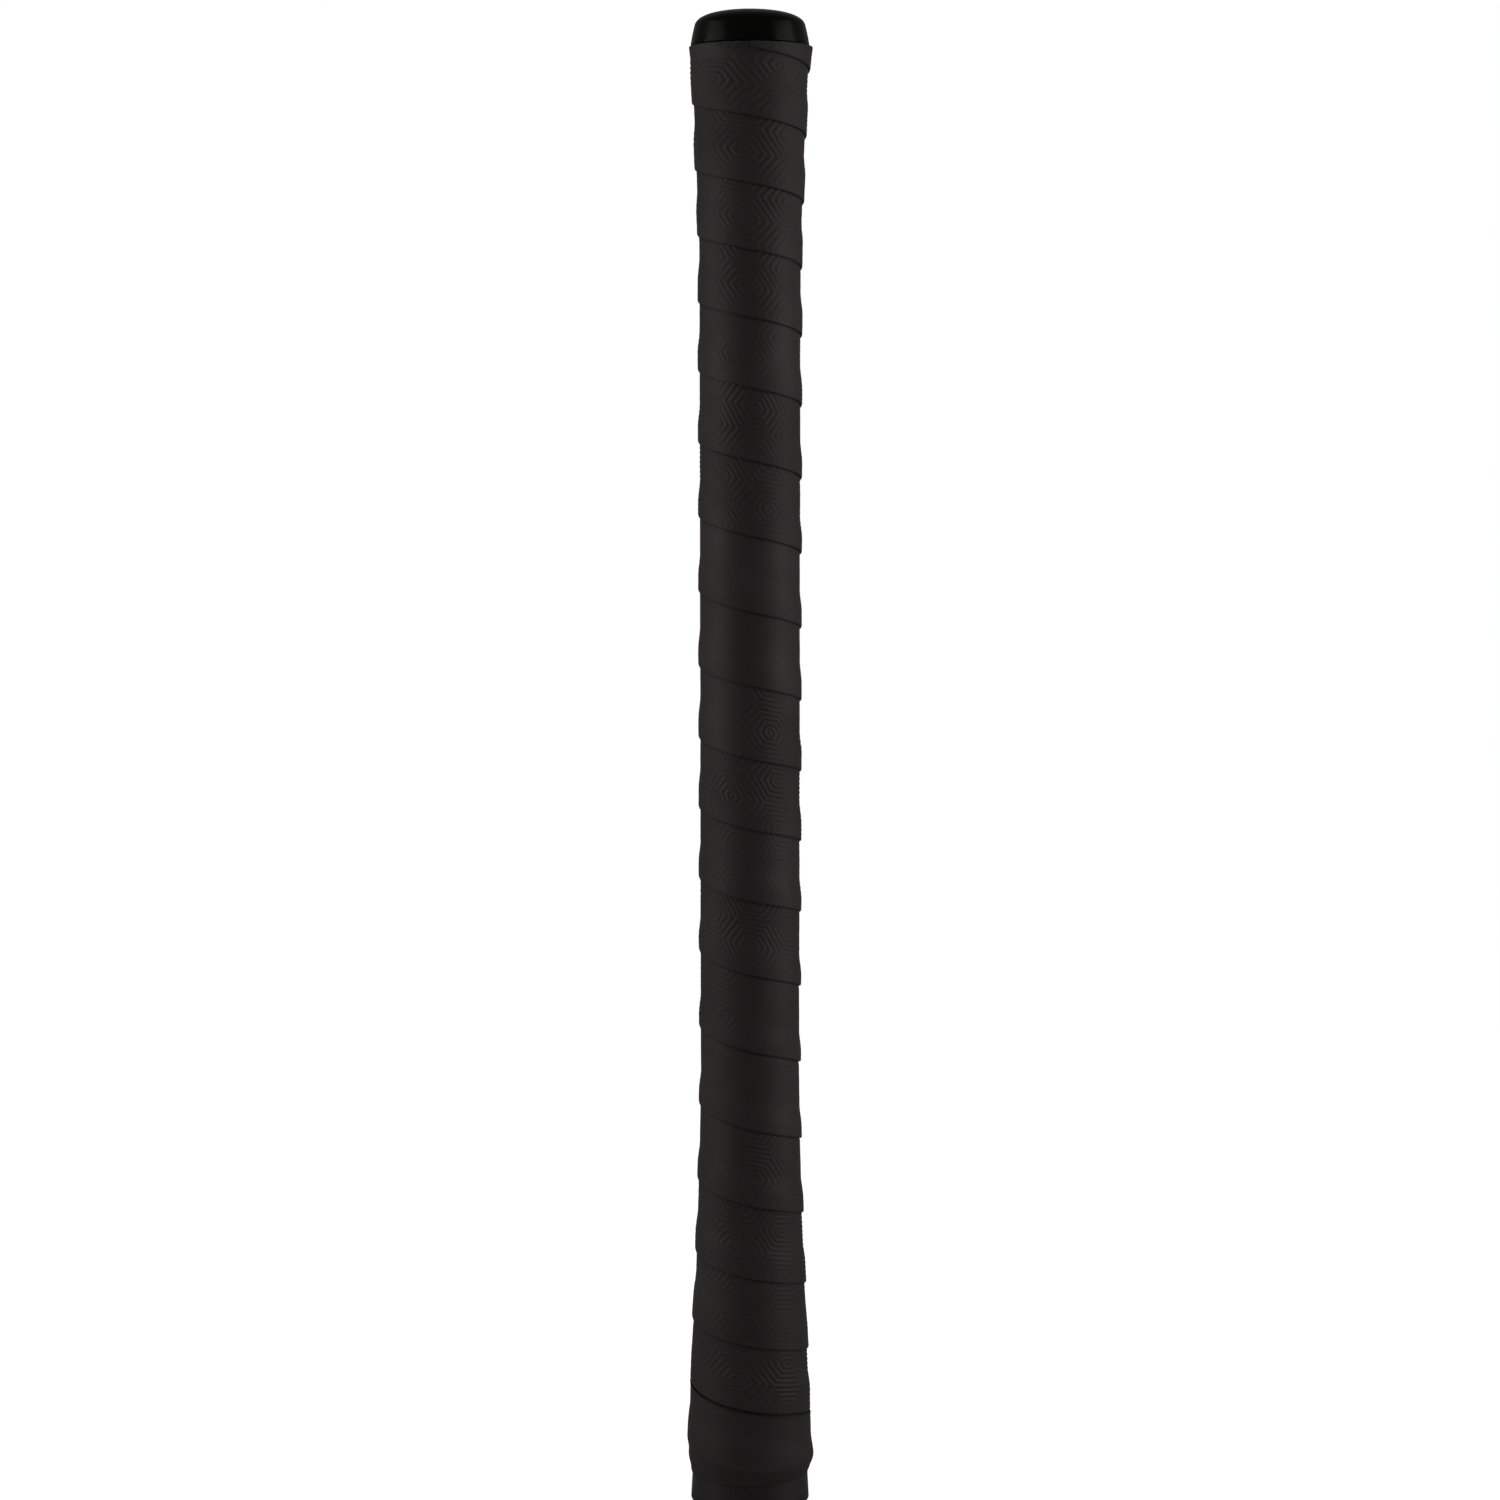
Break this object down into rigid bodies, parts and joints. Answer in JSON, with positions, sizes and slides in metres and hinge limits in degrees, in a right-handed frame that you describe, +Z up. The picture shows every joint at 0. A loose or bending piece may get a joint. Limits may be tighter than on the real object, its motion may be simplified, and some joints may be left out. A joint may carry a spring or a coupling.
{
  "type": "tape-wound stick handle end",
  "caption": "Round tapered stick handle wound in overlapping cushioned grip tape, with a push-in domed end cap and a thin finishing tape at its lower end.",
  "frame": {"origin": "centre of the sawn lower face", "axes": "+Z up the handle's axis to the end cap; -Y is the front, and +X is to the right seen from the front"},
  "size_m": [0.039, 0.039, 0.4489],
  "materials": {
    "composite": "satin clear coat over dark carbon and glass composite",
    "foam": "sawn rigid polyurethane foam",
    "nylon": "moulded nylon, fine matt texture",
    "sleeve_rubber": "matt moulded rubber",
    "cap_plastic": "glossy black moulding",
    "adhesive": "double-sided adhesive film",
    "felt": "needle-punched felt",
    "grip_cover": "soft matt polyurethane with an embossed pattern of nested hexagons",
    "vinyl": "smooth stretch tape, slightly satin"
  },
  "bodies": {
    "handle": {"shaft_shell": "composite", "shaft_core": "foam", "butt_plug": "nylon", "butt_flare_sleeve": "sleeve_rubber", "adhesive_strip": "adhesive", "cushion_backing": "felt", "grip_cover": "grip_cover", "finishing_tape": "vinyl"},
    "cap": {"end_cap": "cap_plastic"}
  },
  "joints": [
    {"name": "cap_pull", "type": "slide", "parent": "handle", "child": "cap", "axis": [0, 0, 1], "range_m": [0, 0.034]}
  ]
}
